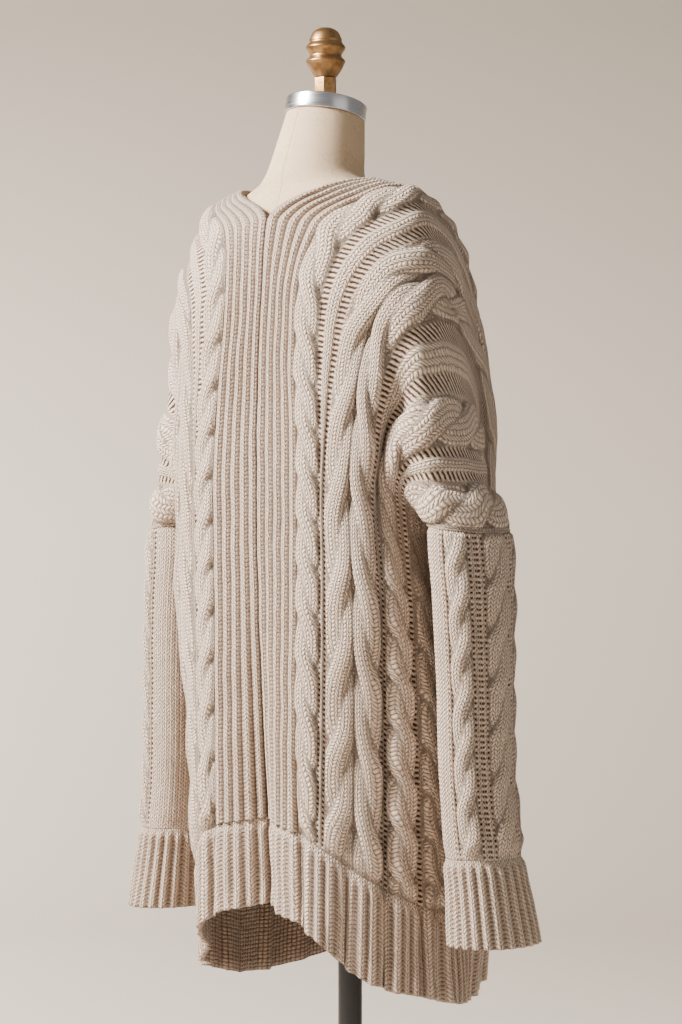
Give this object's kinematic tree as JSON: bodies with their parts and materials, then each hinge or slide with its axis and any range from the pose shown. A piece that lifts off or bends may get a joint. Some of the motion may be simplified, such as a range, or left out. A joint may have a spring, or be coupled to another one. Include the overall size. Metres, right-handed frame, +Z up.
{
  "type": "cable-knit chenille cardigan on a limbless dress form with stand",
  "caption": "Oversized open-front cardigan in cable-knit chenille with ribbed hem bands and cuffs, worn on a linen dress form on a pole stand.",
  "frame": {"origin": "centre of the stand base's underside, on the floor", "axes": "+Z up along the pole; the cardigan's open front faces -Y; the wearer's left is +X"},
  "size_m": [0.6192, 0.38, 1.5791],
  "materials": {
    "chenille_knit": "soft napped chenille in warm oatmeal",
    "linen_cover": "plain woven natural linen",
    "steel_cap": "brushed satin",
    "aged_brass": "polished, darkened with age",
    "black_metal": "semi-gloss black paint"
  },
  "bodies": {
    "root": {"back_left": "chenille_knit", "back_right": "chenille_knit", "front_left": "chenille_knit", "front_right": "chenille_knit", "hem_back_left": "chenille_knit", "hem_back_right": "chenille_knit", "hem_front_left": "chenille_knit", "hem_front_right": "chenille_knit", "sleeve_left": "chenille_knit", "sleeve_right": "chenille_knit", "cuff_left": "chenille_knit", "cuff_right": "chenille_knit", "form_torso": "linen_cover", "neck_cap": "steel_cap", "finial_nut": "aged_brass", "finial": "aged_brass", "stand_pole": "black_metal", "stand_base": "black_metal"}
  },
  "joints": []
}
